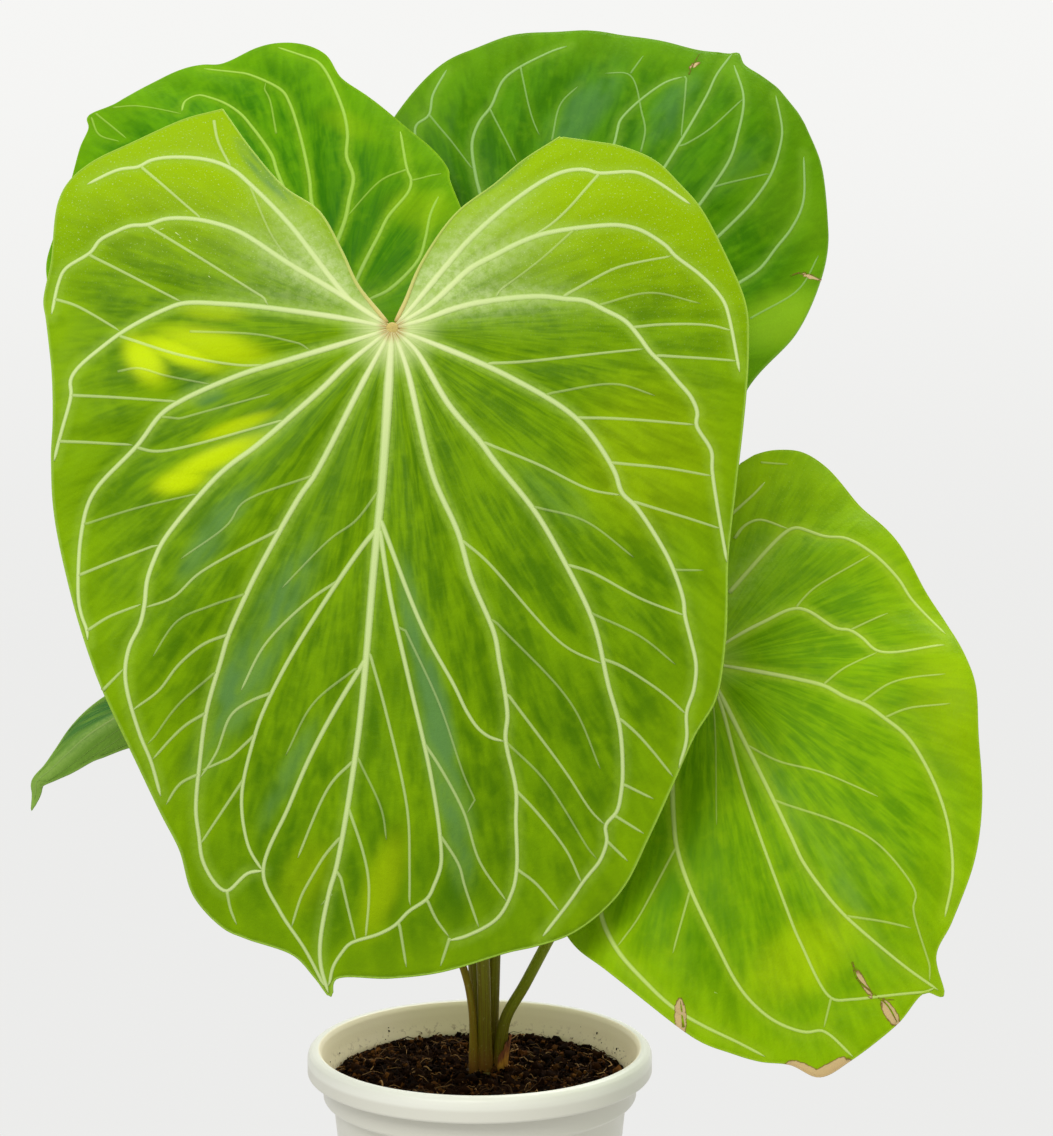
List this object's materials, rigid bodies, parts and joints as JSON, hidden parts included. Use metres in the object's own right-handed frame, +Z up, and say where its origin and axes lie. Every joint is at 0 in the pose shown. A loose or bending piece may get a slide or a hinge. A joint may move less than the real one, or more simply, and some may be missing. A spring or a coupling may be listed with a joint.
{
  "type": "potted anthurium plant",
  "caption": "Potted aroid house plant: large heart-shaped, pale-veined leaves on slim stalks, growing from soil in a round white nursery pot that stands on its flat base.",
  "frame": {"origin": "middle of the pot's underside, on the surface it stands on", "axes": "+Z up along the pot's axis; the large front leaf faces -Y; +X is to the right of the plant seen from its front"},
  "size_m": [0.4062, 0.2554, 0.5814],
  "materials": {
    "white_plastic": "satin",
    "coir_soil": "matte",
    "stem_skin": "matte",
    "dry_sheath": "matte",
    "stalk_skin": "satin",
    "leaf_mid_green": "satin",
    "leaf_bright_green": "satin",
    "leaf_dark_green": "satin",
    "leaf_yellow_green": "satin",
    "leaf_young_green": "satin"
  },
  "bodies": {
    "root": {"pot": "white_plastic", "soil": "coir_soil", "stem_base": "stem_skin", "dry_sheath": "dry_sheath", "blade_front": "leaf_mid_green", "stalk_front": "stalk_skin", "blade_back_left": "leaf_bright_green", "stalk_back_left": "stalk_skin", "blade_back_right": "leaf_dark_green", "stalk_back_right": "stalk_skin", "blade_lower_right": "leaf_yellow_green", "stalk_lower_right": "stalk_skin", "blade_small": "leaf_young_green", "stalk_small": "stalk_skin"}
  },
  "joints": []
}
